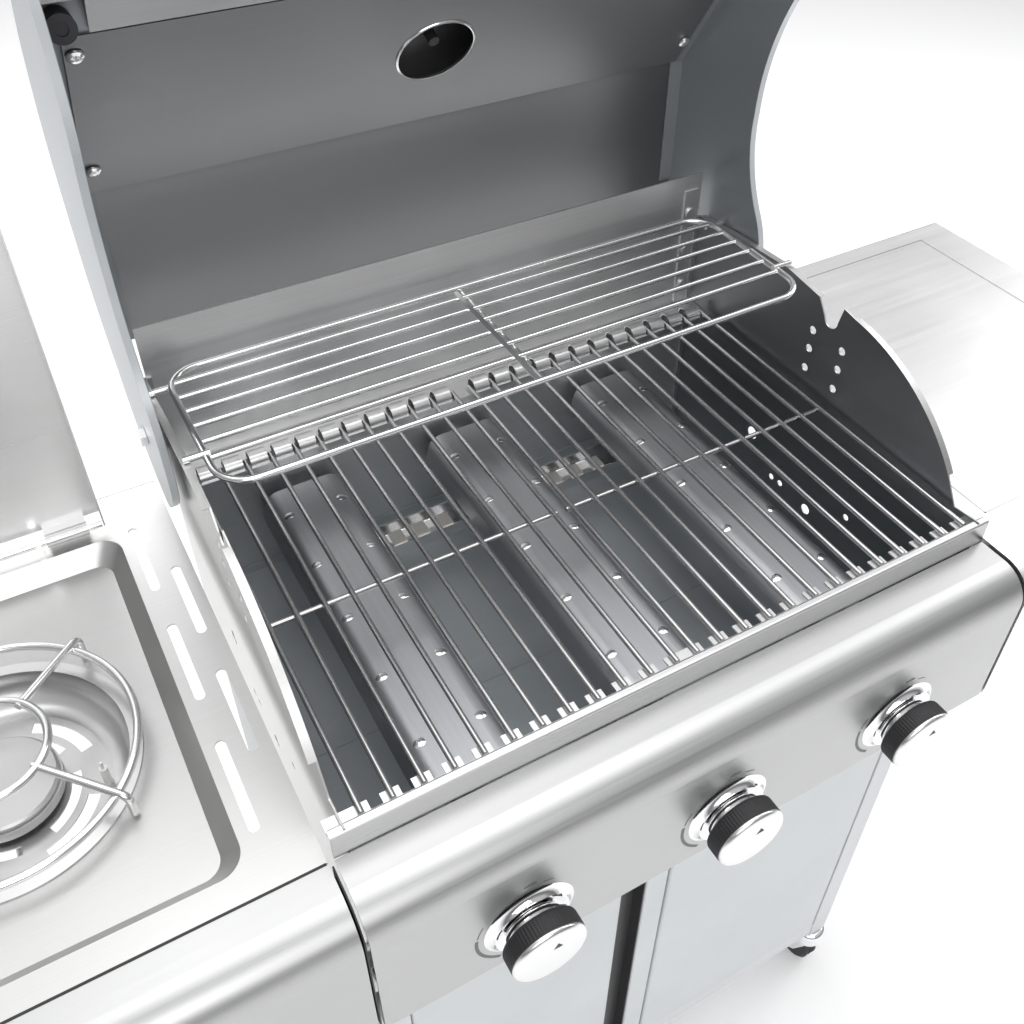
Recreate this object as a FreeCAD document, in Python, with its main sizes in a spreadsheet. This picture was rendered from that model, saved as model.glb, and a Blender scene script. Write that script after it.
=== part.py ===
import FreeCAD, Part
import math
import os
from FreeCAD import Placement, Rotation, Vector

# Gas barbecue grill on a closed cart: three main burners, a side burner, two lids.
# X runs to the right, Y to the rear, Z up, floor at Z = 0.
# Depths below are given from the front rail's face and heights from its top edge,
# and frame_point() turns them into the document's frame.

SIZES = [
    ("rail_front", -181), ("rail_top", 700),
    ("firebox_half", 250), ("rail_half", 260), ("side_outer", 591), ("side_inner", 264),
    ("sheet_gauge", 1.2), ("thin_gauge", 1.0), ("flange_width", 5.5),
    ("wire_pitch", 20.2), ("grate_wire", 4), ("grate_length", 327),
    ("post_size", 20.5), ("post_height", 446), ("post_wall", 1.5),
    ("knob_diameter", 54), ("bezel_diameter", 69), ("stem_diameter", 6), ("valve_depth", 26),
    ("burner_diameter", 25), ("burner_length", 322), ("plate_length", 312),
    ("manifold_diameter", 16), ("handle_diameter", 24), ("handle_length", 440),
    ("cap_gauge", 5.5), ("skin_half", 256.5), ("liner_half", 248),
    ("bumper_diameter", 17), ("dial_diameter", 60),
    ("wheel_diameter", 50), ("wheel_width", 20), ("axle_diameter", 6), ("swivel_diameter", 8),
    ("door_top", -204.5), ("door_bottom", -600), ("door_depth", 18), ("door_edge", 230.3),
    ("rack_wire", 5), ("rack_bar", 4), ("bowl_radius", 88), ("side_lid_width", 222),
    ("side_lid_height", 306), ("tray_half", 220),
]

doc = FreeCAD.newDocument("Grill")
sheet = doc.addObject("Spreadsheet::Sheet", "Sizes")
for row, (alias, size) in enumerate(SIZES, start=1):
    sheet.set("A%d" % row, alias)
    sheet.set("B%d" % row, str(size))
    sheet.setAlias("B%d" % row, alias)
doc.recompute()
val = dict(SIZES)

RAIL_FRONT = val["rail_front"]
RAIL_TOP = val["rail_top"]
PLANES = {"XY": "XY_Plane", "XZ": "XZ_Plane", "YZ": "YZ_Plane"}
nodes = []


def frame_point(x, y, z):
    return Vector(x, y + RAIL_FRONT, z + RAIL_TOP)


def bind(feature, prop, size):
    if isinstance(size, str):
        feature.setExpression(prop, size)
    else:
        setattr(feature, prop, size)


def node(feature, label):
    feature.Label = label
    nodes.append(feature)
    return feature


def box(x, y, z, length, width, height):
    feature = doc.addObject("Part::Box", "Block")
    bind(feature, "Length", length)
    bind(feature, "Width", width)
    bind(feature, "Height", height)
    feature.Placement = Placement(frame_point(x, y, z), Rotation())
    return feature


def rod(x, y, z, direction, radius, height):
    feature = doc.addObject("Part::Cylinder", "Rod")
    bind(feature, "Radius", radius)
    bind(feature, "Height", height)
    feature.Placement = Placement(
        frame_point(x, y, z), Rotation(Vector(0, 0, 1), Vector(*direction)))
    return feature


def fuse(parts):
    feature = doc.addObject("Part::MultiFuse", "Join")
    feature.Shapes = parts
    return feature


def group(parts):
    feature = doc.addObject("Part::Compound", "Set")
    feature.Links = parts
    return feature


def cut(base, tools):
    feature = doc.addObject("Part::Cut", "Trim")
    feature.Base = base
    feature.Tool = tools[0] if len(tools) == 1 else fuse(tools)
    return feature


def free_shape(shape):
    feature = doc.addObject("Part::Feature", "Shaped")
    feature.Shape = shape
    return feature


def rounded(corners):
    """Open path through corners (a, b, radius): lines (a, b) and arcs (a, b, mid a, mid b)."""
    path = [corners[0][:2]]
    for before, corner, after in zip(corners, corners[1:], corners[2:]):
        here = Vector(corner[0], corner[1], 0)
        back = (Vector(before[0], before[1], 0) - here).normalize()
        ahead = (Vector(after[0], after[1], 0) - here).normalize()
        half = back.getAngle(ahead) / 2
        if corner[2] < 0.05 or abs(half - math.pi / 2) < 0.001:
            path.append(corner[:2])
            continue
        reach = corner[2] / math.tan(half)
        start = here + back * reach
        end = here + ahead * reach
        middle = here + (back + ahead).normalize() * (corner[2] / math.sin(half) - corner[2])
        path.append((start.x, start.y))
        path.append((end.x, end.y, middle.x, middle.y))
    path.append(corners[-1][:2])
    return path


def one_side(corners, shift):
    moved = []
    count = len(corners)
    for index, corner in enumerate(corners):
        here = Vector(corner[0], corner[1], 0)
        legs = []
        if index > 0:
            legs.append((here - Vector(corners[index - 1][0], corners[index - 1][1], 0)).normalize())
        if index < count - 1:
            legs.append((Vector(corners[index + 1][0], corners[index + 1][1], 0) - here).normalize())
        normals = [Vector(-leg.y, leg.x, 0) for leg in legs]
        if len(normals) == 1:
            spot = here + normals[0] * shift
            moved.append((spot.x, spot.y, 0))
            continue
        bisector = (normals[0] + normals[1]).normalize()
        spot = here + bisector * (shift / bisector.dot(normals[0]))
        turn = 1 if legs[0].cross(legs[1]).z > 0 else -1
        moved.append((spot.x, spot.y, max(corner[2] - turn * shift, 0) if corner[2] else 0))
    return moved


def bent_sheet(corners, gauge):
    left = one_side(corners, gauge / 2)
    right = one_side(corners, -gauge / 2)
    return rounded(left) + rounded(right[::-1])


def padded(plane, outline, length, start, holes=()):
    """Body: a closed outline drawn on a plane and padded from start along the plane's normal."""
    body = doc.addObject("PartDesign::Body", "Body")
    sketch = body.newObject("Sketcher::SketchObject", "Outline")
    for datum in body.Origin.OriginFeatures:
        if datum.Role == PLANES[plane]:
            sketch.AttachmentSupport = [(datum, "")]
    sketch.MapMode = "FlatFace"
    sketch.AttachmentOffset = Placement(Vector(0, 0, start), Rotation())
    last = Vector(outline[-1][0], outline[-1][1], 0)
    for entry in outline:
        spot = Vector(entry[0], entry[1], 0)
        if len(entry) == 4:
            sketch.addGeometry(Part.Arc(last, Vector(entry[2], entry[3], 0), spot), False)
        elif spot.distanceToPoint(last) > 0.001:
            sketch.addGeometry(Part.LineSegment(last, spot), False)
        last = spot
    for across, up, radius in holes:
        sketch.addGeometry(Part.Circle(Vector(across, up, 0), Vector(0, 0, 1), radius), False)
    pad = body.newObject("PartDesign::Pad", "Pad")
    pad.Profile = sketch
    bind(pad, "Length", length)
    body.Tip = pad
    return body


def side_profile(outline, length, start, holes=()):
    """Padded along X from start: outline in depth and height from the front rail."""
    body = padded("YZ", outline, length, start, holes)
    body.Placement = Placement(frame_point(0, 0, 0), Rotation())
    return body


def plan_profile(outline, length, height, holes=()):
    body = padded("XY", outline, length, 0, holes)
    body.Placement = Placement(frame_point(0, 0, height), Rotation())
    return body


def turned(profile, x, y, z, direction):
    """Body: profile of (radius, height) turned about its axis, then set along a direction."""
    body = doc.addObject("PartDesign::Body", "Turned")
    sketch = body.newObject("Sketcher::SketchObject", "Profile")
    for datum in body.Origin.OriginFeatures:
        if datum.Role == "XZ_Plane":
            sketch.AttachmentSupport = [(datum, "")]
    sketch.MapMode = "FlatFace"
    last = Vector(profile[-1][0], profile[-1][1], 0)
    for entry in profile:
        spot = Vector(entry[0], entry[1], 0)
        if len(entry) == 4:
            sketch.addGeometry(Part.Arc(last, Vector(entry[2], entry[3], 0), spot), False)
        else:
            sketch.addGeometry(Part.LineSegment(last, spot), False)
        last = spot
    spin = body.newObject("PartDesign::Revolution", "Spin")
    spin.Profile = sketch
    spin.ReferenceAxis = (sketch, ["V_Axis"])
    spin.Angle = 360
    body.Tip = spin
    body.Placement = Placement(
        frame_point(x, y, z), Rotation(Vector(0, 0, 1), Vector(*direction)))
    return body


def wire_shape(points, radius, bend=0):
    """Round wire through points, with bends of one radius."""
    spots = [frame_point(*point) for point in points]
    edges = []
    start = spots[0]
    for before, corner, after in zip(spots, spots[1:], spots[2:]):
        back = (before - corner).normalize()
        ahead = (after - corner).normalize()
        half = back.getAngle(ahead) / 2
        reach = bend / math.tan(half)
        first = corner + back * reach
        second = corner + ahead * reach
        middle = corner + (back + ahead).normalize() * (bend / math.sin(half) - bend)
        edges.append(Part.makeLine(start, first))
        edges.append(Part.Arc(first, middle, second).toShape())
        start = second
    edges.append(Part.makeLine(start, spots[-1]))
    spine = Part.Wire(edges)
    heading = (spots[1] - spots[0]).normalize()
    section = Part.Wire(Part.makeCircle(radius, spots[0], heading))
    return spine.makePipeShell([section], True, False)


def slot(x, y_start, y_end, width, z, depth):
    radius = width / 2
    return fuse([
        box(x - radius, y_start + radius, z, width, y_end - y_start - width, depth),
        rod(x, y_start + radius, z, (0, 0, 1), radius, depth),
        rod(x, y_end - radius, z, (0, 0, 1), radius, depth)])


def rounded_rectangle(left, right, front, rear, radius, height):
    middle = (left + right) / 2
    path = rounded([
        (middle, front, 0), (right, front, radius), (right, rear, radius),
        (left, rear, radius), (left, front, radius), (middle, front, 0)])
    edges = []
    last = frame_point(path[0][0], path[0][1], height)
    for entry in path[1:]:
        spot = frame_point(entry[0], entry[1], height)
        if len(entry) == 4:
            edges.append(Part.Arc(last, frame_point(entry[2], entry[3], height), spot).toShape())
        else:
            edges.append(Part.makeLine(last, spot))
        last = spot
    return Part.Wire(edges)


# ---- Cart ----
POST_INNER = 231.5
FRONT = -6
REAR = 340
POST_FOOT = -628
FRAME_TOP = POST_FOOT + val["post_height"]
size = val["post_size"]
wall = val["post_wall"]

posts = []
for x in (-POST_INNER - size, POST_INNER):
    for y in (FRONT, REAR):
        outer = box(x, y, POST_FOOT, "Sizes.post_size", "Sizes.post_size", "Sizes.post_height")
        inner = box(x + wall, y + wall, POST_FOOT - 1,
                    "Sizes.post_size - 2 * Sizes.post_wall",
                    "Sizes.post_size - 2 * Sizes.post_wall", "Sizes.post_height + 2")
        posts.append(cut(outer, [inner]))
rails = []
for x in (-POST_INNER - size, POST_INNER):
    rails.append(box(x, FRONT + size, FRAME_TOP - size, "Sizes.post_size",
                     REAR - FRONT - size, "Sizes.post_size"))
rails.append(box(-POST_INNER, FRONT, FRAME_TOP - size, 2 * POST_INNER,
                 "Sizes.post_size", "Sizes.post_size"))
ledges = [box(x, 60, -188.5, 10.5, 290, "Sizes.sheet_gauge") for x in (-POST_INNER, 221)]
node(group(posts + rails + ledges), "cart_frame")

node(group([box(x, FRONT + size, -622, "Sizes.sheet_gauge", REAR - FRONT - size, 419.5)
            for x in (-252, 250.8)]), "cart_sides")
node(fuse([box(-POST_INNER, 359.3, -622, 2 * POST_INNER, "Sizes.sheet_gauge", 347),
           box(-POST_INNER, 340, -276.2, 2 * POST_INNER, size, "Sizes.sheet_gauge")]),
     "cart_back")

base = box(-POST_INNER, -5, -625, 2 * POST_INNER, 364.3, 22)
hollow = box(-POST_INNER + 1.2, -3.8, -626.2, 2 * POST_INNER - 2.4, 361.9, 22)
node(cut(base, [hollow]), "cart_base")

sockets = []
casters = []
for x in (-POST_INNER - size / 2, POST_INNER + size / 2):
    for y in (FRONT + size / 2, REAR + size / 2):
        casters.append((x, y))
        plug = box(x - 8.6, y - 8.6, POST_FOOT, 17.2, 17.2, 30)
        sockets.append(cut(plug, [rod(x, y, POST_FOOT - 1, (0, 0, 1),
                                      "Sizes.swivel_diameter / 2 + 0.08", 40)]))
node(group(sockets), "caster_sockets")

# ---- Casters: swivel housing with axle, and a ribbed wheel ----
TRAIL = 12
AXLE_Z = -700 + val["wheel_diameter"] / 2
for number, (x, y) in enumerate(casters, start=1):
    cup = turned([(0, -20), (17.5, -20), (17.5, -8), (12, -1, 16.5, -3.5), (4, -1), (4, 26), (0, 26)],
                 x, y, POST_FOOT, (0, 0, 1))
    cheeks = []
    for offset in (-14.5, 12.5):
        arm = padded("YZ", rounded([(0, -18, 0), (17, -18, 4), (17 + TRAIL - 4, -47, 12),
                                    (TRAIL, -61, 9), (0, -48, 10), (-12, -18, 2), (0, -18, 0)])[:-1],
                     2, x + offset)
        arm.Placement = Placement(frame_point(0, y, POST_FOOT), Rotation())
        cheeks.append(arm)
    ring = rod(x - 17, y + TRAIL, AXLE_Z, (1, 0, 0), "Sizes.axle_diameter / 2", 34)
    node(fuse([cup, ring] + cheeks), "caster_hood_%d" % number)
    radius = val["wheel_diameter"] / 2
    half = val["wheel_width"] / 2
    tread = turned([(3.08, -half), (12, -half), (radius - 3, -half), (radius, -half + 3),
                    (radius, -4), (radius - 1.5, -3), (radius - 1.5, -1), (radius, 0),
                    (radius - 1.5, 1), (radius - 1.5, 3), (radius, 4),
                    (radius, half - 3), (radius - 3, half), (12, half), (3.08, half)],
                   x, y + TRAIL, AXLE_Z, (1, 0, 0))
    node(tread, "caster_wheel_%d" % number)

# ---- Doors: folded pans, the left one with a finger channel ----
gauge = val["thin_gauge"]
edge = val["door_edge"]
TOP = val["door_top"]
BOTTOM = val["door_bottom"]
DOOR_LENGTH = "Sizes.door_top - Sizes.door_bottom"
PIN_X = 227.3
PIN_Y = -3
face = FRONT + gauge / 2
inner_rim = FRONT + val["door_depth"]
left_path = [(-edge + gauge / 2, inner_rim, 0), (-edge + gauge / 2, face, 2.5), (-47, face, 2.5),
             (-47, -0.5, 2.5), (-44, -0.5, 0), (-44, 9, 1), (-22, 9, 1), (-22, face, 1.5),
             (-0.9, face, 2.5), (-0.9, inner_rim, 0)]
right_path = [(2.4, inner_rim, 0), (2.4, face, 2.5), (edge - gauge / 2, face, 2.5),
              (edge - gauge / 2, inner_rim, 0)]
for side, path, left, right, pin in (("left", left_path, -edge, -0.4, -PIN_X),
                                     ("right", right_path, 1.9, edge, PIN_X)):
    shell = plan_profile(bent_sheet(path, gauge), DOOR_LENGTH, BOTTOM)
    ends = []
    for z in (BOTTOM, TOP - gauge):
        plate = box(left + 1.5, FRONT + 1.2, z, right - left - 3, val["door_depth"] - 1.2, gauge)
        ends.append(cut(plate, [rod(pin, PIN_Y, z - 1, (0, 0, 1), 1.9, 3)]))
    node(fuse([shell] + ends), "door_" + side)
pins = []
for x in (-PIN_X, PIN_X):
    pins.append(rod(x, PIN_Y, -603, (0, 0, 1), 1.8, 8))
    pins.append(rod(x, PIN_Y, TOP - 6, (0, 0, 1), 1.8, 8))
node(group(pins), "door_pins")

# ---- Firebox ----
half = val["firebox_half"]
BOX_BOTTOM = FRAME_TOP
wall_top = [(358, 82), (295, 88), (237, 91), (199, 86), (189.2, 72.5),
            (174.2, 74.5, 181.5, 66.2), (171, 90), (158, 87.7),
            (38, 19.3, 86.2, 63.9), (25, -1.5), (1.6, 1.2)]
wall_outline = wall_top + [(1.6, BOX_BOTTOM), (358, BOX_BOTTOM)]
side_holes = [(198, z, 3.5) for z in (54, 36, 16.5)] + [(163.5, z, 3.5) for z in (54, 36, 16.5)]
low_holes = [(243.6, -89, 6), (209, -117, 3), (197, -116, 3), (161, -119, 5), (116, -91, 3)]
flange_path = [(357.4, 81.4, 0), (295, 87.4, 40), (237, 90.4, 20), (199, 85.4, 0)]
for side, start, flange_start in (("left", -half - 1.2, -half - 5.5), ("right", half, half)):
    plate = side_profile(wall_outline, "Sizes.sheet_gauge", start, side_holes + low_holes)
    rear_flange = side_profile(bent_sheet(flange_path, 1.2), "Sizes.flange_width", flange_start)
    front_flange = side_profile(
        [(158, 87.7), (38, 19.3, 86.2, 63.9), (39.1, 18.6), (158, 86.4, 86.7, 62.7)],
        "Sizes.flange_width", flange_start)
    node(fuse([plate, rear_flange, front_flange]), "firebox_%s_wall" % side)

back = box(-249.5, 360.5, BOX_BOTTOM, 499, "Sizes.sheet_gauge", 123.7 - BOX_BOTTOM)
strap = box(232, 358.9, -4.4, 14, 1.6, 114)
heads = [rod(239, 358.9, z, (0, -1, 0), 4.5, 2) for z in (14, 51, 88)]
node(fuse([back, strap] + heads), "firebox_back")

WIRES_LEFT = [-237.6 + val["wire_pitch"] * step for step in range(12)]
WIRES_RIGHT = [0.8 + val["wire_pitch"] * step for step in range(13)]
pitch = val["wire_pitch"]
between = [x + pitch / 2 for x in WIRES_LEFT[:-1]] + [x + pitch / 2 for x in WIRES_RIGHT[:-1]]
lip = side_profile(bent_sheet([(0.6, -21.5, 0), (0.6, -0.6, 1.5), (6, -0.6, 1), (6, -5.6, 1),
                               (16, -5.6, 0)], 1.2), "2 * Sizes.rail_half", -260)
notches = [box(x - 4, 9, -7, 8, 8, 3) for x in between]
clips = [box(x, 1.4, -8, 1.6, 17, 9) for x in (-251.4, 249.8)]
node(cut(lip, [group(notches + clips)]), "front_rail")

shelf = side_profile(bent_sheet([(359.8, -32, 0), (359.8, -5.6, 2), (326, -5.6, 0)], 1.2),
                     499, -249.5)
tabs = []
for x in between:
    tabs.append(side_profile([(344, -5), (328, -5, 336, 3), (329.2, -5), (342.8, -5, 336, 1.8)],
                             14, x - 7))
node(fuse([shelf] + tabs), "rear_rail")

front_slope = side_profile(bent_sheet([(2.4, -140, 0), (2.4, -150, 2), (176, -178, 0)], 1.2),
                           499, -249.5)
rear_slope = side_profile(bent_sheet([(359.6, -140, 0), (359.6, -150, 2), (194, -178, 0)], 1.2),
                          499, -249.5)
node(group([front_slope, rear_slope]), "firebox_pan")

tray_half = val["tray_half"]
pan = cut(box(-tray_half, 64, -200, "2 * Sizes.tray_half", 286, 14),
          [box(-tray_half + 1, 65, -199, "2 * Sizes.tray_half - 2", 284, 20),
           rod(0, 180, -202, (0, 0, 1), 12, 5)])
rims = [box(x, 64, -187.2, 8.5, 286, 1.2) for x in (-228, 219.5)]
pull = box(-60, 349.5, -198, 120, 12, 1.2)
node(fuse([pan, pull] + rims), "grease_tray")
cup = turned([(0, -54), (34, -54), (38, -2), (44, -2), (44, 0), (37, 0), (33, -53), (0, -53)],
             0, 180, -200.2, (0, 0, 1))
node(cup, "grease_cup")

plates = []
burners = []
for x in (-152, 0, 152):
    crown = padded("XZ", bent_sheet([(-37, -24, 0), (-31, -1, 13), (31, -1, 13),
                                     (37, -24, 0)], 1.2), "Sizes.plate_length", 0)
    crown.Placement = Placement(frame_point(x, 38 + val["plate_length"], -58), Rotation())
    arch = padded("XZ", [(-36, -36), (-22, -36), (22, -36, 0, -14), (36, -36), (36, -24),
                         (18, -2, 30.5, -7.5), (-18, -2), (-36, -24, -30.5, -7.5)], 1.2, 0)
    arch.Placement = Placement(frame_point(x, 39.4, -58), Rotation())
    tail = padded("XZ", [(-36, -36), (-22, -36), (22, -36, 0, -14), (36, -36), (36, -24),
                         (18, -2, 30.5, -7.5), (-18, -2), (-36, -24, -30.5, -7.5)], 1.2, 0)
    tail.Placement = Placement(frame_point(x, 349.8, -58), Rotation())
    plates.append(fuse([crown, arch, tail]))

    tube = rod(x, 20, -111, (0, 1, 0), "Sizes.burner_diameter / 2", "Sizes.burner_length")
    bore = rod(x, 18, -111, (0, 1, 0), "Sizes.burner_diameter / 2 - 1", "Sizes.burner_length - 2")
    ports = []
    for step in range(14):
        ports.append(rod(x - 20, 60 + 20 * step, -104, (1, 0, 0), 1.2, 40))
    mouth = box(x - 6, 24, -125, 12, 18, 8)
    burners.append(cut(tube, [bore, group(ports), mouth]))
node(group(plates), "heat_plates")
node(group(burners), "burners")

channels = []
for x in (-137.5, 14.5):
    channel = side_profile(bent_sheet([(271, -88, 0), (271, -100, 2), (298, -100, 2),
                                       (298, -88, 0)], 1.2), 123, x)
    channels.append(channel)
node(group(channels), "crossover_channels")

# ---- Gas train and front panels ----
FASCIA_Y = -47.5
panel_path = [(-0.8, -22.1, 0), (FASCIA_Y + 0.6, -22.1, 25.4), (FASCIA_Y + 0.6, -156, 2),
              (-24, -156, 0)]
panel_sheet = bent_sheet(panel_path, 1.2)
KNOB_Z = -111
KNOBS = (-157, 0, 157, -427)
panel = side_profile(panel_sheet, "2 * Sizes.rail_half", -260)
stems = [rod(x, FASCIA_Y - 2, KNOB_Z, (0, 1, 0), 6, 6) for x in KNOBS[:3]]
node(cut(panel, [group(stems)]), "control_panel")

pipe = rod(-445, -12, -128, (1, 0, 0), "Sizes.manifold_diameter / 2", 680)
pipe_bore = rod(-443, -12, -128, (1, 0, 0), "Sizes.manifold_diameter / 2 - 1.5", 676)
node(cut(pipe, [pipe_bore]), "gas_manifold")
valves = []
for x in KNOBS:
    block = box(x - 9, -42, KNOB_Z - 9, 18, "Sizes.valve_depth", 18)
    stem = rod(x, -42, KNOB_Z, (0, -1, 0), "Sizes.stem_diameter / 2", 24)
    nozzle = rod(x, -16.5, KNOB_Z, (0, 1, 0), 5, 26)
    valves.append(fuse([block, stem, nozzle]))
node(group(valves), "gas_valves")
inlet = fuse([rod(215, -12, -136.1, (0, 0, -1), 9.5, 9), rod(215, -12, -145, (0, 0, -1), 7, 15)])
node(cut(inlet, [rod(215, -12, -135, (0, 0, -1), 3.5, 30)]), "gas_inlet")

bezels = []
for x in KNOBS:
    bezels.append(turned([(13, 0.1), (34.5, 0.1), (27, 4.5, 29.5, 1.4), (25.5, 4.5), (20, 1.6),
                          (13, 1.6)], x, FASCIA_Y, KNOB_Z, (0, -1, 0)))
node(group(bezels), "knob_bezels")
for number, x in enumerate(KNOBS, start=1):
    radius = val["knob_diameter"] / 2
    grip = turned([(3.06, 3.2), (19, 3.2), (20, 6), (20, 11), (radius - 1, 11), (radius, 12.5),
                   (radius, 24.5), (radius - 0.6, 25), (radius - 0.6, 27), (radius - 2.5, 28.5),
                   (0, 28.5), (0, 19), (3.06, 19)], x, FASCIA_Y, KNOB_Z, (0, -1, 0))
    node(grip, "knob_%d" % number)

# ---- Right table ----
inner = val["side_inner"]
outer = val["side_outer"]
table_path = [(371.4, -62, 0), (371.4, -22.1, 3), (FASCIA_Y + 0.6, -22.1, 25.4),
              (FASCIA_Y + 0.6, -156, 2), (-24, -156, 0)]
end_outline = [(370.8, -62), (370.8, -22.8), (-22.5, -22.8), (-46.2, -48, -39.5, -30.2),
               (-46.2, -155.3), (-24, -155.3), (40, -62)]
SIDE_LENGTH = "Sizes.side_outer - Sizes.side_inner"
table_top = side_profile(bent_sheet(table_path, 1.2), SIDE_LENGTH, inner)
table_ends = [side_profile(end_outline, "Sizes.sheet_gauge", x) for x in (inner, outer - 1.2)]
table = fuse([table_top] + table_ends)
node(cut(table, [slot(294, 41, 65, 7, -26, 8), slot(294, 300, 324, 7, -26, 8)]), "right_table")

# ---- Left deck with the side burner's recess ----
BURNER_X = -421
BURNER_Y = 161
deck_path = [(371.4, -62, 0), (371.4, -22.1, 3), (-0.5, -22.1, 0)]
deck_top = side_profile(bent_sheet(deck_path, 1.2), SIDE_LENGTH, -outer)
deck_end_outline = [(370.8, -62), (370.8, -22.8), (-0.5, -22.8), (-0.5, -110), (40, -62)]
deck_ends = [side_profile(deck_end_outline, "Sizes.sheet_gauge", x)
             for x in (-outer, -inner - 1.2)]
upper = rounded_rectangle(-539, -303, 17, 324, 18, -21.5)
lower = rounded_rectangle(-527, -315, 29, 312, 14, -36)
upper_inside = rounded_rectangle(-537.6, -304.4, 18.4, 322.6, 17, -21.4)
lower_inside = rounded_rectangle(-525.8, -316.2, 30.2, 310.8, 13, -34.8)
well = Part.makeLoft([lower, upper], True, True)
well_inside = Part.makeLoft([lower_inside, upper_inside], True, True)
deck_slots = [slot(-293.5, 38, 109, 7, -26, 8), slot(-293.5, 145, 217, 7, -26, 8),
              slot(-293.5, 253, 324, 7, -26, 8), slot(-276, 91, 163, 7, -26, 8),
              slot(-276, 199, 270, 7, -26, 8)]
recess = cut(fuse([deck_top, free_shape(well)]),
             [free_shape(well_inside),
              rod(BURNER_X, BURNER_Y, -40, (0, 0, 1), "Sizes.bowl_radius - 5", 20)])
node(fuse([cut(recess, [group(deck_slots)])] + deck_ends), "left_deck")
apron_path = [(-1.2, -22.1, 0), (FASCIA_Y + 0.6, -22.1, 25.4), (FASCIA_Y + 0.6, -156, 2),
              (-24, -156, 0)]
apron = side_profile(bent_sheet(apron_path, 1.2), SIDE_LENGTH, -outer)
apron_end_outline = [(-1.2, -22.8), (-22.5, -22.8), (-46.2, -48, -39.5, -30.2),
                     (-46.2, -155.3), (-24, -155.3), (-1.2, -112)]
apron_ends = [side_profile(apron_end_outline, "Sizes.sheet_gauge", x)
              for x in (-outer, -inner - 1.2)]
node(cut(fuse([apron] + apron_ends), [rod(KNOBS[3], FASCIA_Y - 2, KNOB_Z, (0, 1, 0), 6, 6),
                                      rod(-268, -12, -128, (1, 0, 0), 11, 6)]),
     "left_apron")

bowl = turned([(22, -28), (62, -28), (81, -1.2, 76, -24), (88, -1.2), (88, 0.2), (80, 0.2),
               (62, -26.8, 75, -23), (22, -26.8)], BURNER_X, BURNER_Y, -33.5, (0, 0, 1))
bowl_holes = [rod(-363, y, -70, (0, 0, 1), 3.2, 50) for y in (142, 126)]
for outside, inside, first, sweep in ((57, 49, 15, 50), (44, 37.5, 28, 62)):
    for quarter in range(4):
        sector = rod(BURNER_X, BURNER_Y, -70, (0, 0, 1), outside, 20)
        sector.Angle = sweep
        sector.Placement = Placement(frame_point(BURNER_X, BURNER_Y, -70),
                                     Rotation(Vector(0, 0, 1), first + 90 * quarter))
        core = rod(BURNER_X, BURNER_Y, -71, (0, 0, 1), inside, 22)
        bowl_holes.append(cut(sector, [core]))
node(cut(bowl, [group(bowl_holes)]), "drip_bowl")
body_profile = [(0, -30), (14, -30), (17, -8), (33, -5), (36, -1), (36, 6), (0, 6)]
flame_ring = turned(body_profile, BURNER_X, BURNER_Y, -52, (0, 0, 1))
flame_cap = turned([(0, -0.2), (33.5, -0.2), (34.5, 1), (34.5, 3), (33, 4.4), (0, 4.4)],
                   BURNER_X, BURNER_Y, -45.8, (0, 0, 1))
riser = rod(BURNER_X, BURNER_Y, -118, (0, 0, 1), 7, 36)
feed = rod(KNOBS[3], 12, -111, (0, 1, 0), 6, BURNER_Y - 10)
collar = rod(KNOBS[3], 11, -111, (0, 1, 0), 9, 14)
feed_bore = rod(KNOBS[3], -3, -111, (0, 1, 0), 5.2, 14)
supply = cut(fuse([riser, feed, collar]), [feed_bore])
node(group([fuse([flame_ring, flame_cap]), supply]), "side_burner")
igniter = fuse([rod(-363, 142, -66, (0, 0, 1), 2.6, 22), rod(-363, 142, -45, (0, 0, 1), 1, 7),
                rod(-363, 142, -74, (0, 0, 1), 4.5, 9)])
node(igniter, "side_igniter")

rings = []
for radius, z, thick in ((88.5, -17, 2.8), (37, -8, 2.8)):
    ring = doc.addObject("Part::Torus", "Ring")
    bind(ring, "Radius1", radius)
    bind(ring, "Radius2", thick)
    ring.Placement = Placement(frame_point(BURNER_X, BURNER_Y, z), Rotation())
    rings.append(ring)
spokes = []
for quarter in range(4):
    angle = math.radians(45 + 90 * quarter)

    def spoke_point(reach, height):
        return (BURNER_X + reach * math.cos(angle), BURNER_Y + reach * math.sin(angle), height)

    spokes.append(free_shape(wire_shape(
        [spoke_point(34, -8), spoke_point(97, -14.5), spoke_point(97, -31.8)], 2.6, 6)))
node(fuse(rings + spokes), "pot_support")

# ---- Side lid and its hinge ----
LID_AXIS = (330, -12)
lid_left = BURNER_X - val["side_lid_width"] / 2
lid_width = "Sizes.side_lid_width"
plate = box(lid_left, 340, -8, lid_width, "Sizes.thin_gauge", "Sizes.side_lid_height")
rims = [box(lid_left, 322, -8, "Sizes.thin_gauge", 18.5, "Sizes.side_lid_height"),
        box(lid_left + val["side_lid_width"] - 1, 322, -8, "Sizes.thin_gauge", 18.5,
            "Sizes.side_lid_height"),
        box(lid_left, 322, -8 + val["side_lid_height"] - 1, lid_width, 18.5, "Sizes.thin_gauge")]
knuckles = []
for x in (-520, -352):
    arm = box(x, 332.5, -16.5, 30, 8.5, 9.5)
    knuckles.append(cut(fuse([rod(x, 330, -12, (1, 0, 0), 4.5, 30), arm]),
                        [rod(x - 1, 330, -12, (1, 0, 0), 2.58, 32)]))
side_grip = fuse([box(-461, 341, 268, 80, 22, 2), box(-461, 361, 258, 80, 2, 12)])
node(fuse([plate, side_grip] + rims + knuckles), "side_lid")
brackets = []
for x in (-486, -360):
    brackets.append(box(x, 325, -21.4, 4, 10, 14))
node(fuse([rod(-530, 330, -12, (1, 0, 0), 2.5, 218)] + brackets), "side_lid_hinge")

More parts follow.
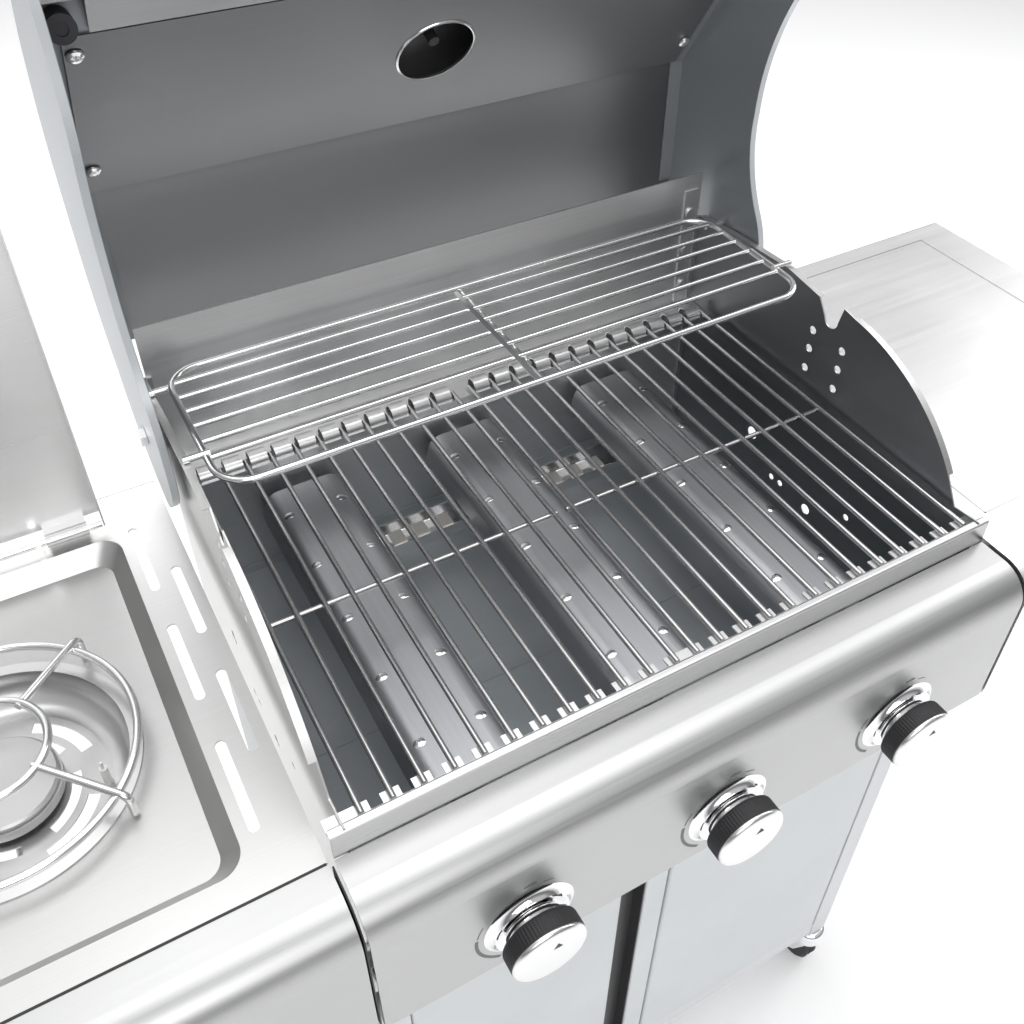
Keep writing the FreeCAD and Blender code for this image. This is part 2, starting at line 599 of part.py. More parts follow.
# ---- Grates and warming rack ----
wire_radius = "Sizes.grate_wire / 2"
for side, wires in (("left", WIRES_LEFT), ("right", WIRES_RIGHT)):
    bars = [rod(x, 8, -3, (0, 1, 0), wire_radius, "Sizes.grate_length") for x in wires]
    tie = rod(wires[0] - 4, 168, -6, (1, 0, 0), wire_radius, wires[-1] - wires[0] + 8)
    node(fuse(bars + [tie]), "grate_" + side)

RACK_Z = 92
rack_side = 239
loop = wire_shape([(0, 342.6, RACK_Z), (-rack_side, 342.6, RACK_Z), (-rack_side, 204.5, RACK_Z),
                   (rack_side, 204.5, RACK_Z), (rack_side, 342.6, RACK_Z), (0, 342.6, RACK_Z)],
                  2.5, 24)
rack_bars = []
for y in (328.2, 310.5, 293.2, 275.2, 256.2, 238.1):
    rack_bars.append(rod(-rack_side, y, RACK_Z, (1, 0, 0), "Sizes.rack_bar / 2", 2 * rack_side))
rack_bars.append(rod(0, 231, RACK_Z - 3.6, (0, 1, 0), "Sizes.rack_bar / 2", 112))
rack_bars.append(box(-10, 205, RACK_Z + 1.2, 4, 130, 1.2))
for x in (-254, 236):
    rack_bars.append(rod(x, 332, 87.2, (1, 0, 0), "Sizes.rack_wire / 2", 18))
    rack_bars.append(rod(x, 242, 93.4, (1, 0, 0), "Sizes.rack_wire / 2", 18))
node(fuse([free_shape(loop)] + rack_bars), "warming_rack")

# ---- Main lid, standing open ----
PIVOT = (342, 45)
SKIN_LENGTH = "2 * Sizes.skin_half"
skin = side_profile([(416.5, 80), (417.5, 80), (417.5, 200), (300.4, 387.5, 385.4, 310.9),
                     (299, 387), (323.6, 339.2), (324.5, 339.7), (301, 386.2), (416.5, 200, 384.6, 310.4)],
                    SKIN_LENGTH, -val["skin_half"])
LINER_OUT = (0, 0.836, 0.549)
DIAL_ANGLE = math.radians(26.2)
DIAL_OUT = (0, math.cos(DIAL_ANGLE), math.sin(DIAL_ANGLE))


def on_skin(reach, angle):
    return (210 + reach * math.cos(angle), 200 + reach * math.sin(angle))


port = rod(0, *on_skin(200, DIAL_ANGLE), DIAL_OUT, 8, 15)
corners = [box(x, 308, 338, 26, 20, 23) for x in (-258, 232)]
node(cut(skin, [port, group(corners)]), "lid_skin")
liner_path = [(413.2, 204.5, 0), (325.3, 338.3, 0)]
liner = side_profile(bent_sheet(liner_path, 1), "2 * Sizes.liner_half", -val["liner_half"])
liner_hole = rod(0, 368 - 5 * 0.836, 273 - 5 * 0.549, LINER_OUT, 29, 10)
node(cut(liner, [liner_hole]), "lid_liner")

cap_outline = [(310, 0), (335, -12, 319, -9), (412, 60, 383, 13), (440, 160, 434, 108),
               (385, 340, 427, 265), (304, 391, 347, 372), (287, 376, 289, 388),
               (292, 287, 283, 331), (315, 192, 309, 242), (296, 113, 309, 141),
               (283, 60, 285, 88), (310, 0, 290, 22)]
for side, start, strip_start, bracket in (("left", -262.5, -257.2, -257.2),
                                          ("right", 257, 244.2, 231)):
    cap = side_profile(cap_outline, "Sizes.cap_gauge", start, [(PIVOT[0], PIVOT[1], 4.08)])
    strip = side_profile(bent_sheet([(415.6, 93, 0), (415.6, 203, 6), (328.6, 339, 0)], 1.2),
                         13, strip_start)
    tab = box(bracket, 327.6, 337.5, 26.2, 1.2, 21)
    node(fuse([cap, strip, tab]), "lid_cap_" + side)

bumpers = []
for x in (-247.5, 247.5):
    bumper = rod(x, 327.5, 347.2, (0, -1, 0), "Sizes.bumper_diameter / 2", 16)
    bumpers.append(cut(bumper, [rod(x, 312.5, 347.2, (0, -1, 0), 4, 3)]))
node(group(bumpers), "lid_bumpers")

screws = []
for x in (-242, 242):
    for reach in (32.6, 150):
        screws.append(turned([(0, 0.6), (5.25, 0.6), (5.0, 2), (3.4, 3.1), (1.2, 3.5), (0, 3.5)],
                             x, 416 - 0.55 * reach - 0.4, 200 + 0.836 * reach - 0.3,
                             (0, -0.836, -0.549)))
node(group(screws), "lid_screws")

stem = rod(0, *on_skin(178, DIAL_ANGLE), DIAL_OUT, 3.5, 34)
dial = rod(0, *on_skin(207.9, DIAL_ANGLE), DIAL_OUT, "Sizes.dial_diameter / 2", 14)
collar = rod(0, *on_skin(196, DIAL_ANGLE), DIAL_OUT, 11, 10)
node(fuse([stem, dial, collar]), "thermometer")

HANDLE_ANGLE = math.radians(58)
handle_at = on_skin(257.5, HANDLE_ANGLE)
bar = rod(-220, handle_at[0], handle_at[1], (1, 0, 0), "Sizes.handle_diameter / 2",
          "Sizes.handle_length")
end_caps = [rod(x, handle_at[0], handle_at[1], (1, 0, 0), 13, 8) for x in (-221, 213)]
node(fuse([bar] + end_caps), "lid_handle")
direction = (0, math.cos(HANDLE_ANGLE), math.sin(HANDLE_ANGLE))
foot = on_skin(207.9, HANDLE_ANGLE)
mounts = []
for x in (-185, 185):
    post = turned([(0, 0.3), (16, 0.3), (11, 6, 12, 3), (8, 14), (8, 44), (0, 44)],
                  x, foot[0], foot[1], direction)
    mounts.append(cut(post, [rod(x - 20, handle_at[0], handle_at[1], (1, 0, 0), 12.02, 40)]))
node(group(mounts), "handle_mounts")

bolts = []
for sign in (-1, 1):
    outwards = (sign, 0, 0)
    shank = rod(sign * 251.3, PIVOT[0], PIVOT[1], outwards, 4, 13)
    spacer = rod(sign * 251.3, PIVOT[0], PIVOT[1], outwards, 8, 5.3)
    head = doc.addObject("Part::Prism", "Hexagon")
    head.Polygon = 6
    head.Circumradius = 7.5
    head.Height = 5
    head.Placement = Placement(frame_point(sign * 262.8, PIVOT[0], PIVOT[1]),
                               Rotation(Vector(0, 0, 1), Vector(*outwards)))
    stop = rod(sign * 251.3, PIVOT[0], PIVOT[1] - 14, outwards, 3, 5)
    bolts.append(fuse([shank, spacer, head]))
    bolts.append(stop)
node(group(bolts), "lid_hinge_bolts")

doc.recompute()

for feature in nodes:
    state = [flag for flag in feature.State if flag in ("Invalid", "Error")]
    if state:
        raise RuntimeError("%s does not build: %s" % (feature.Label, state))
    if feature.Shape.isNull() or not feature.Shape.isValid():
        raise RuntimeError("%s has a bad shape" % feature.Label)
for feature in doc.Objects:
    if "Invalid" in feature.State or "Error" in feature.State:
        raise RuntimeError("%s does not build" % feature.Label)

os.makedirs("parts", exist_ok=True)
for feature in nodes:
    feature.Shape.exportStep("parts/" + feature.Label + ".step")
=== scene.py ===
import math

import bmesh
import bpy
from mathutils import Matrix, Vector


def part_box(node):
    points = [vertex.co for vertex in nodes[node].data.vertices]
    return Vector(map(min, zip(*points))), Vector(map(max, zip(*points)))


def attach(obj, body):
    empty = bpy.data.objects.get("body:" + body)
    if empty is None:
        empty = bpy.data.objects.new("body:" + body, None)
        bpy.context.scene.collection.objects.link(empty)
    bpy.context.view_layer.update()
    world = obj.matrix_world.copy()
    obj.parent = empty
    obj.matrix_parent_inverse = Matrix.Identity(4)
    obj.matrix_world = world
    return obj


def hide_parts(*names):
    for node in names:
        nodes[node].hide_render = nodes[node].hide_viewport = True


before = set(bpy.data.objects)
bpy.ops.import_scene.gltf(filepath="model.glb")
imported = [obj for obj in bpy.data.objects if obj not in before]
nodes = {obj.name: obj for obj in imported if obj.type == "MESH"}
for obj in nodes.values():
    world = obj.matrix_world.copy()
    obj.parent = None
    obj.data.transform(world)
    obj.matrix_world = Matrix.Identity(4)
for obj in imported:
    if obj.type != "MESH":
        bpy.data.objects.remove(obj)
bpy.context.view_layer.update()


# ---- Materials ----
def new_material(name, colour, metallic, roughness):
    material = bpy.data.materials.new(name)
    material.use_nodes = True
    tree = material.node_tree
    shader = tree.nodes["Principled BSDF"]
    shader.inputs["Base Color"].default_value = (*colour, 1)
    shader.inputs["Metallic"].default_value = metallic
    shader.inputs["Roughness"].default_value = roughness
    return material, tree, shader


def stretched_noise(tree, scale, detail=4.0, roughness=0.6):
    coordinates = tree.nodes.new("ShaderNodeTexCoord")
    mapping = tree.nodes.new("ShaderNodeMapping")
    mapping.inputs["Scale"].default_value = scale
    noise = tree.nodes.new("ShaderNodeTexNoise")
    noise.inputs["Scale"].default_value = 1.0
    noise.inputs["Detail"].default_value = detail
    noise.inputs["Roughness"].default_value = roughness
    tree.links.new(coordinates.outputs["Object"], mapping.inputs["Vector"])
    tree.links.new(mapping.outputs["Vector"], noise.inputs["Vector"])
    return noise.outputs["Fac"]


def spread(tree, source, low, high):
    span = tree.nodes.new("ShaderNodeMapRange")
    span.inputs["From Min"].default_value = 0.3
    span.inputs["From Max"].default_value = 0.7
    span.inputs["To Min"].default_value = low
    span.inputs["To Max"].default_value = high
    tree.links.new(source, span.inputs["Value"])
    return span.outputs["Result"]


def colour_spread(tree, source, dark, light):
    mix = tree.nodes.new("ShaderNodeMix")
    mix.data_type = "RGBA"
    mix.inputs[6].default_value = (*dark, 1)
    mix.inputs[7].default_value = (*light, 1)
    tree.links.new(spread(tree, source, 0, 1), mix.inputs[0])
    return mix.outputs[2]


def add_bump(tree, shader, source, strength, distance):
    bump = tree.nodes.new("ShaderNodeBump")
    bump.inputs["Strength"].default_value = strength
    bump.inputs["Distance"].default_value = distance
    tree.links.new(source, bump.inputs["Height"])
    tree.links.new(bump.outputs["Normal"], shader.inputs["Normal"])


def brushed(name, colour, roughness, grain, contrast=0.07, metallic=1.0):
    """Sheet metal with a grain: the mapping is stretched along the grain's direction."""
    material, tree, shader = new_material(name, colour, metallic, roughness)
    streaks = stretched_noise(tree, grain, 6.0, 0.7)
    patches = stretched_noise(tree, (5, 5, 5), 2.0)
    dark = tuple(part * (1 - contrast) for part in colour)
    light = tuple(min(part * (1 + contrast), 1) for part in colour)
    tree.links.new(colour_spread(tree, streaks, dark, light), shader.inputs["Base Color"])
    total = tree.nodes.new("ShaderNodeMath")
    total.operation = "ADD"
    tree.links.new(spread(tree, streaks, roughness - 0.05, roughness + 0.05), total.inputs[0])
    tree.links.new(spread(tree, patches, -0.03, 0.03), total.inputs[1])
    tree.links.new(total.outputs[0], shader.inputs["Roughness"])
    add_bump(tree, shader, streaks, 0.02, 0.0002)
    return material


def coated(name, colour, roughness, speck=900, bump=0.05, metallic=0.0):
    material, tree, shader = new_material(name, colour, metallic, roughness)
    fine = stretched_noise(tree, (speck, speck, speck), 2.0)
    broad = stretched_noise(tree, (7, 7, 7), 3.0)
    dark = tuple(part * 0.95 for part in colour)
    light = tuple(min(part * 1.03, 1) for part in colour)
    tree.links.new(colour_spread(tree, broad, dark, light), shader.inputs["Base Color"])
    tree.links.new(spread(tree, broad, roughness - 0.04, roughness + 0.04),
                   shader.inputs["Roughness"])
    add_bump(tree, shader, fine, bump, 0.0003)
    return material


def math_node(tree, operation, first, second=None):
    """Math node output; each input is a socket to link or a plain number."""
    node = tree.nodes.new("ShaderNodeMath")
    node.operation = operation
    for position, value in enumerate((first, second)):
        if isinstance(value, bpy.types.NodeSocket):
            tree.links.new(value, node.inputs[position])
        elif value is not None:
            node.inputs[position].default_value = value
    return node.outputs[0]


def axes_of(tree, output):
    """X, Y and Z of a texture coordinate output such as Object or Normal."""
    coordinates = tree.nodes.new("ShaderNodeTexCoord")
    split = tree.nodes.new("ShaderNodeSeparateXYZ")
    tree.links.new(coordinates.outputs[output], split.inputs["Vector"])
    return split.outputs


def paint_where(material, mask, colour):
    """Shows the colour where the mask is 1 and the material's own colour elsewhere."""
    tree = material.node_tree
    base = tree.nodes["Principled BSDF"].inputs["Base Color"]
    mix = tree.nodes.new("ShaderNodeMix")
    mix.data_type = "RGBA"
    mix.inputs[7].default_value = (*colour, 1)
    tree.links.new(base.links[0].from_socket, mix.inputs[6])
    tree.links.new(mask, mix.inputs[0])
    tree.links.new(mix.outputs[2], base)
    return material


ALONG_X = (6, 900, 900)
ALONG_Y = (900, 6, 900)


def cap_with_painted_shade(name, inside, outside, plane):
    """Painted cap with painted shade: darker on what lies nearer the middle than the plane, in
    metres.
    """
    material = coated(name, outside, 0.36, metallic=0.3)
    tree = material.node_tree
    distance = math_node(tree, "ABSOLUTE", axes_of(tree, "Object")["X"])
    return paint_where(material, math_node(tree, "LESS_THAN", distance, plane), inside)


def lid_with_painted_shade(name, inside, height):
    """Lid skin: brushed outside, with painted shade making it darker on forward-facing sides below a
    height in metres.
    """
    material = brushed(name, (0.66, 0.66, 0.66), 0.34, ALONG_X, 0.04)
    tree = material.node_tree
    forward = math_node(tree, "LESS_THAN", axes_of(tree, "Normal")["Y"], -0.2)
    low_down = math_node(tree, "LESS_THAN", axes_of(tree, "Object")["Z"], height)
    return paint_where(material, math_node(tree, "MULTIPLY", forward, low_down), inside)


def wall_with_painted_shade(name, inside, outside):
    """Firebox wall with painted shade: dark on the faces turned to the middle, and bright as if lit
    outside and on the rims.
    """
    material = brushed(name, outside, 0.38, ALONG_Y, 0.05)
    tree = material.node_tree
    outward = math_node(tree, "MULTIPLY", axes_of(tree, "Object")["X"], axes_of(tree, "Normal")["X"])
    return paint_where(material, math_node(tree, "LESS_THAN", outward, -0.12), inside)


CAP_INNER_PLANE = 0.2574
LINER_TOP_HEIGHT = 0.925
MATERIALS = {
    "panel": brushed("panel_steel", (0.53, 0.535, 0.53), 0.40, ALONG_X, 0.04),
    "deck": brushed("deck_steel", (0.56, 0.56, 0.555), 0.38, ALONG_X, 0.04),
    "table": brushed("table_steel", (0.97, 0.97, 0.965), 0.40, ALONG_X, 0.02),
    "rail": brushed("rail_steel", (0.78, 0.78, 0.78), 0.30, ALONG_X, 0.04),
    "bowl": coated("bowl_steel", (0.66, 0.66, 0.66), 0.30, 400, 0.02, 1.0),
    "lid": lid_with_painted_shade("lid_steel", (0.25, 0.254, 0.258), LINER_TOP_HEIGHT),
    "lid_bar": brushed("lid_bar_steel", (0.75, 0.75, 0.75), 0.34, ALONG_X, 0.04),
    # The liner's dark base colour is a painted reflection of dark surroundings in front of the lid.
    "liner": brushed("liner_steel", (0.31, 0.315, 0.32), 0.42, ALONG_X, 0.04),
    "wall": wall_with_painted_shade("wall_steel", (0.30, 0.31, 0.32), (0.72, 0.72, 0.71)),
    "back": brushed("back_steel", (0.82, 0.82, 0.82), 0.42, ALONG_X, 0.05),
    "plates": brushed("plate_steel", (0.60, 0.61, 0.63), 0.42, ALONG_Y, 0.06),
    "plain": brushed("plain_steel", (0.58, 0.59, 0.60), 0.35, ALONG_Y),
    "bright": brushed("bright_steel", (0.90, 0.90, 0.90), 0.18, ALONG_X, 0.03),
    "door": coated("door_paint", (0.68, 0.71, 0.72), 0.42),
    "cart": coated("cart_paint", (0.72, 0.73, 0.75), 0.40),
    "cap": cap_with_painted_shade("cap_paint", (0.27, 0.29, 0.30), (0.60, 0.63, 0.65), CAP_INNER_PLANE),
    "pan": coated("pan_coat", (0.48, 0.52, 0.54), 0.45, 300, 0.12),
    "chrome": coated("chrome_plate", (0.92, 0.92, 0.93), 0.10, 300, 0.01, 1.0),
    "wire": coated("wire_plate", (0.90, 0.90, 0.90), 0.20, 300, 0.02, 1.0),
    "grate": coated("grate_plate", (0.62, 0.62, 0.62), 0.24, 300, 0.02, 1.0),
    "alloy": coated("cast_alloy", (0.62, 0.62, 0.62), 0.45, 700, 0.25, 1.0),
    "brass": coated("machined_brass", (0.78, 0.62, 0.32), 0.28, 500, 0.05, 1.0),
    "rubber": coated("black_rubber", (0.022, 0.022, 0.026), 0.55, 1400, 0.2),
    "plastic": coated("black_plastic", (0.03, 0.03, 0.032), 0.40, 1200, 0.1),
    "ceramic": coated("white_ceramic", (0.88, 0.87, 0.84), 0.30, 500, 0.03),
    "grip": coated("grip_rubber", (0.018, 0.018, 0.02), 0.5, 2600, 0.35),
    "cap_face": brushed("cap_face_metal", (0.88, 0.88, 0.88), 0.24, (300, 300, 300), 0.02),
    "ink": coated("black_ink", (0.02, 0.02, 0.02), 0.5),
    "print": coated("grey_print", (0.16, 0.16, 0.17), 0.5),
    "strap": brushed("strap_steel", (0.80, 0.77, 0.72), 0.40, ALONG_X, 0.06),
}
NODE_LOOKS = {
    "cart_frame": "cart", "cart_sides": "cart", "cart_back": "cart", "cart_base": "cart",
    "caster_sockets": "plastic", "door_left": "door", "door_right": "door",
    "door_pins": "bright", "firebox_left_wall": "wall", "firebox_right_wall": "wall",
    "firebox_back": "back", "front_rail": "rail", "rear_rail": "rail",
    "firebox_pan": "pan", "grease_tray": "plain", "grease_cup": "plain",
    "heat_plates": "plates", "burners": "plain", "crossover_channels": "bright",
    "control_panel": "panel", "gas_manifold": "plain", "gas_valves": "brass",
    "gas_inlet": "brass", "knob_bezels": "chrome", "right_table": "table",
    "left_deck": "deck", "left_apron": "panel", "drip_bowl": "bowl",
    "side_burner": "alloy", "side_igniter": "ceramic", "pot_support": "wire",
    "side_lid": "lid_bar", "side_lid_hinge": "bright", "grate_left": "grate",
    "grate_right": "grate", "warming_rack": "wire", "lid_skin": "lid", "lid_liner": "liner",
    "lid_cap_left": "cap", "lid_cap_right": "cap", "lid_bumpers": "rubber",
    "lid_screws": "bright", "thermometer": "chrome", "lid_handle": "lid_bar",
    "handle_mounts": "chrome", "lid_hinge_bolts": "bright",
}
for number in range(1, 5):
    NODE_LOOKS["caster_hood_%d" % number] = "chrome"
    NODE_LOOKS["caster_wheel_%d" % number] = "rubber"
    NODE_LOOKS["knob_%d" % number] = "rubber"
for name, look in NODE_LOOKS.items():
    data = nodes[name].data
    data.materials.clear()
    data.materials.append(MATERIALS[look])


# ---- Pieces that carry the finer detail ----
RAIL_LOW, RAIL_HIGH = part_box("front_rail")
RAIL_FRONT = RAIL_LOW.y
RAIL_TOP = RAIL_HIGH.z


def place(x, y, z):
    """Millimetres from the front rail's face and top edge, to the frame's metres."""
    return Vector((x / 1000, RAIL_FRONT + y / 1000, RAIL_TOP + z / 1000))


def make_piece(name, mesh, look, body, smooth=35):
    data = bpy.data.meshes.new(name)
    bmesh.ops.recalc_face_normals(mesh, faces=mesh.faces)
    mesh.to_mesh(data)
    mesh.free()
    data.materials.append(MATERIALS[look])
    data.shade_smooth()
    data.set_sharp_from_angle(angle=math.radians(smooth))
    piece = bpy.data.objects.new(name, data)
    bpy.context.scene.collection.objects.link(piece)
    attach(piece, body)
    return piece


def lathe(mesh, profile, at, direction, steps=64, ridges=0, ridge_depth=0.0, ridge_rows=()):
    """Closed turned form from (radius, height) rows in millimetres, with optional ridges."""
    turn = Vector((0, 0, 1)).rotation_difference(Vector(direction)).to_matrix()
    rows = []
    for index, (radius, height) in enumerate(profile):
        if radius < 0.001:
            rows.append([mesh.verts.new(at + turn @ Vector((0, 0, height / 1000)))])
            continue
        row = []
        for step in range(steps):
            angle = 2 * math.pi * step / steps
            reach = radius
            if ridges and index in ridge_rows:
                reach -= ridge_depth * (0.5 + 0.5 * math.cos(angle * ridges))
            row.append(mesh.verts.new(at + turn @ Vector(
                (reach * math.cos(angle) / 1000, reach * math.sin(angle) / 1000, height / 1000))))
        rows.append(row)
    for lower, upper in zip(rows, rows[1:] + rows[:1]):
        if len(lower) == 1 and len(upper) == 1:
            continue
        for step in range(steps):
            after = (step + 1) % steps
            if len(lower) == 1:
                mesh.faces.new((lower[0], upper[step], upper[after]))
            elif len(upper) == 1:
                mesh.faces.new((lower[step], lower[after], upper[0]))
            else:
                mesh.faces.new((lower[step], lower[after], upper[after], upper[step]))


def prism(mesh, outline, origin, across, up, depth):
    """Flat closed form: outline (a, b) in millimetres on two directions, given a thickness."""
    side = Vector(across)
    rise = Vector(up)
    normal = side.cross(rise)
    front = [mesh.verts.new(origin + side * a / 1000 + rise * b / 1000 + normal * depth / 1000)
             for a, b in outline]
    rear = [mesh.verts.new(origin + side * a / 1000 + rise * b / 1000) for a, b in outline]
    mesh.faces.new(front)
    mesh.faces.new(rear[::-1])
    count = len(outline)
    for index in range(count):
        after = (index + 1) % count
        mesh.faces.new((rear[index], rear[after], front[after], front[index]))


def arc_band(inner, outer, start, end, steps=18):
    angles = [math.radians(start + (end - start) * step / steps) for step in range(steps + 1)]
    return ([(outer * math.cos(angle), outer * math.sin(angle)) for angle in angles]
            + [(inner * math.cos(angle), inner * math.sin(angle)) for angle in angles[::-1]])


FACE_OUT = (0, -1, 0)
for number in range(1, 5):
    low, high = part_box("knob_%d" % number)
    centre = (low + high) / 2
    base = Vector((centre.x, high.y, centre.z))
    body = "knob_%d" % number
    neck = bmesh.new()
    lathe(neck, [(3.1, 0), (19, 0), (19.3, 0.4), (20.4, 2.6), (20.6, 3.4), (20.6, 8.4),
                 (20.2, 8.8), (3.1, 8.8)], base, FACE_OUT, 72)
    make_piece("knob_%d_neck" % number, neck, "chrome", body)
    band = bmesh.new()
    rows = [(20.3, 8.2), (25.4, 8.2), (26.3, 8.8), (26.8, 9.8)]
    rows += [(26.9, 9.8 + 1.15 * step) for step in range(1, 10)]
    rows += [(26.8, 20.8), (26.2, 21.2), (20, 21.2)]
    lathe(band, rows, base, FACE_OUT, 288, 72, 0.35, range(3, 13))
    grip = make_piece("knob_%d_band" % number, band, "grip", body, 60)
    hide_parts(body)
    cap = bmesh.new()
    lathe(cap, [(0, 20.4), (25, 20.4), (26.0, 20.9), (26.7, 21.6), (26.7, 22.6), (26.2, 23.6),
                (25.2, 24.5), (23.9, 25.0), (22.5, 25.2), (0, 25.25)], base, FACE_OUT, 96)
    make_piece("knob_%d_cap" % number, cap, "cap_face", body, 50)
    pointer = bmesh.new()
    prism(pointer, [(-3.4, 0), (3.4, 0), (0, 5.6)], base + Vector((0.004, -0.02518, 0.008)),
          (1, 0, 0), (0, 0, 1), 0.12)
    make_piece("knob_%d_pointer" % number, pointer, "ink", body)

    marks = bmesh.new()
    low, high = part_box("control_panel")
    panel = Vector((centre.x, low.y - 0.00005, centre.z))
    prism(marks, arc_band(37.6, 38.5, 150, 168), panel, (1, 0, 0), (0, 0, 1), 0.06)
    prism(marks, arc_band(36.9, 39.4, 172, 236), panel, (1, 0, 0), (0, 0, 1), 0.06)
    prism(marks, arc_band(40.2, 42.4, 84, 96, 6), panel, (1, 0, 0), (0, 0, 1), 0.06)
    prism(marks, arc_band(37.8, 38.6, 64, 76, 6), panel, (1, 0, 0), (0, 0, 1), 0.06)
    make_piece("knob_%d_marks" % number, marks, "print", "grill")

low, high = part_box("door_left")
channel = bmesh.new()
left_edge = -0.0429
right_edge = -0.0231
step_y = low.y + 0.0062
front_y = low.y + 0.0012
back_y = front_y + 0.0128
wall_gauge = 0.0009
end_clearance = 0.0013
outline = [(left_edge, step_y), (left_edge, back_y), (right_edge, back_y),
           (right_edge, front_y), (right_edge - wall_gauge, front_y),
           (right_edge - wall_gauge, back_y - wall_gauge),
           (left_edge + wall_gauge, back_y - wall_gauge), (left_edge + wall_gauge, step_y)]
bottom_ring = [channel.verts.new((x, y, low.z + end_clearance)) for x, y in outline]
top_ring = [channel.verts.new((x, y, high.z - end_clearance)) for x, y in outline]
channel.faces.new(bottom_ring[::-1])
channel.faces.new(top_ring)
for index in range(len(outline)):
    after = (index + 1) % len(outline)
    channel.faces.new((bottom_ring[index], bottom_ring[after], top_ring[after], top_ring[index]))
make_piece("door_channel_liner", channel, "plastic", "door_left")

dimples = bmesh.new()
DIMPLE_PITCH = 62
for x in (-152, 0, 152):
    for offset in (-23.6, 23.6):
        for step in range(5):
            spot = place(x + offset, 70 + DIMPLE_PITCH * step, -60.4)
            lean = (math.copysign(0.3, offset), 0, 0.954)
            lathe(dimples, [(0, -1.2), (5.2, -1.2), (5.2, 0.5), (4.4, 1.2), (2.8, 1.9), (0, 2.2)],
                  spot, lean, 24)
make_piece("heat_plate_dimples", dimples, "bright", "grill")

# Strip over the gap between the pan's two slopes: painted shade for that gap, which also covers the
# pan's drip gap
gap_shade_sheet = bmesh.new()
prism(gap_shade_sheet, [(172, -177.2), (179, -179.4), (191, -179.4), (198, -177.2), (198, -176.0),
               (191, -178.2), (179, -178.2), (172, -176.0)],
      place(-249, 0, 0), (0, 1, 0), (0, 0, 1), 498)
make_piece("pan_gap_shade_sheet", gap_shade_sheet, "pan", "grill")

# Dark cover on the thermometer's stem, a painted reflection of the dark lid inside, and the bright
# rim of the hole that it shows through
stem_reflection_cover = bmesh.new()
lathe(stem_reflection_cover, [(0, -0.4), (3.9, -0.4), (3.9, 17.6), (11.3, 17.6), (11.3, 19.2), (0, 19.2)],
      place(0, 369.7, 278.6), (0, 0.897, 0.4415), 40)
make_piece("thermometer_stem_painted_reflection", stem_reflection_cover, "plastic", "lid")
rim = bmesh.new()
lathe(rim, [(28.7, 0), (30.6, 0), (30.2, 0.7), (29.4, 1.0), (28.7, 0.8)],
      place(0, 367.6, 272.7), (0, -0.836, -0.549), 72)
make_piece("liner_hole_rim", rim, "bright", "lid")

low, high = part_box("left_deck")
seam = bmesh.new()
seam_left = low.x * 1000 + 1
seam_right = high.x * 1000 - 1
prism(seam, [(seam_left, -1.75), (seam_right, -1.75), (seam_right, 0.05), (seam_left, 0.05)],
      Vector((0, RAIL_FRONT, high.z + 0.00005)), (1, 0, 0), (0, 1, 0), 0.1)
make_piece("deck_seam_shadow", seam, "ink", "grill")

# Dark strips behind the side walls, where the solids leave a gap: painted shade for that gap
corners = bmesh.new()
STRIP_WIDTH = 5.2
for start in (-251.2, 246):
    end = start + STRIP_WIDTH
    prism(corners, [(start, 358.1), (end, 358.1), (end, 360.4), (start, 360.4)],
          place(0, 0, -182), (1, 0, 0), (0, 1, 0), 264)
make_piece("rear_corner_strips", corners, "plates", "grill")

# Dark plates between the three front panels, a little inside their outline: painted shade for the
# gaps between the panels
gaps = bmesh.new()
NOSE_Y, NOSE_Z, NOSE_RADIUS = -21.5, -47.5, 23.7
nose = [(NOSE_Y + NOSE_RADIUS * math.cos(math.radians(90 + 10 * step)),
         NOSE_Z + NOSE_RADIUS * math.sin(math.radians(90 + 10 * step))) for step in range(10)]
for start in (-262.5, 261.5):
    prism(gaps, [(-2.5, -24)] + nose + [(-45.2, -154.5), (-25, -154.5), (-2.5, -112)],
          place(start, 0, 0), (0, 1, 0), (0, 0, 1), 1)
make_piece("panel_gap_shade_plates", gaps, "ink", "grill")

low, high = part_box("right_table")
border = bmesh.new()
BEAD = 1.2
left_bead = low.x * 1000 + 22
right_bead = high.x * 1000 - 42
front_bead = 20
rear_bead = 350
for x0, x1, y0, y1 in ((left_bead, right_bead, rear_bead - BEAD, rear_bead),
                       (left_bead, right_bead, front_bead, front_bead + BEAD),
                       (left_bead, left_bead + BEAD, front_bead, rear_bead),
                       (right_bead - BEAD, right_bead, front_bead, rear_bead)):
    prism(border, [(x0, y0), (x1, y0), (x1, y1), (x0, y1)],
          Vector((0, RAIL_FRONT, high.z - 0.0001)), (1, 0, 0), (0, 1, 0), 0.4)
make_piece("table_border_bead", border, "deck", "grill")

straps = bmesh.new()
for x in (-98, -77, -55, 54, 75, 97):
    prism(straps, [(-6, 0), (6, 0), (6, 14), (-6, 14)], place(x, 271.5, -87.9),
          (1, 0, 0), (0, 1, 0), 1.2)
make_piece("crossover_straps", straps, "strap", "grill")


# ---- Floor, light and camera ----
def area_light(name, at, aim, size, power):
    data = bpy.data.lights.new(name, "AREA")
    data.shape = "RECTANGLE"
    data.size = size[0]
    data.size_y = size[1]
    data.energy = power
    lamp = bpy.data.objects.new(name, data)
    bpy.context.scene.collection.objects.link(lamp)
    lamp.location = at
    lamp.rotation_euler = (Vector(aim) - Vector(at)).to_track_quat("-Z", "Y").to_euler()


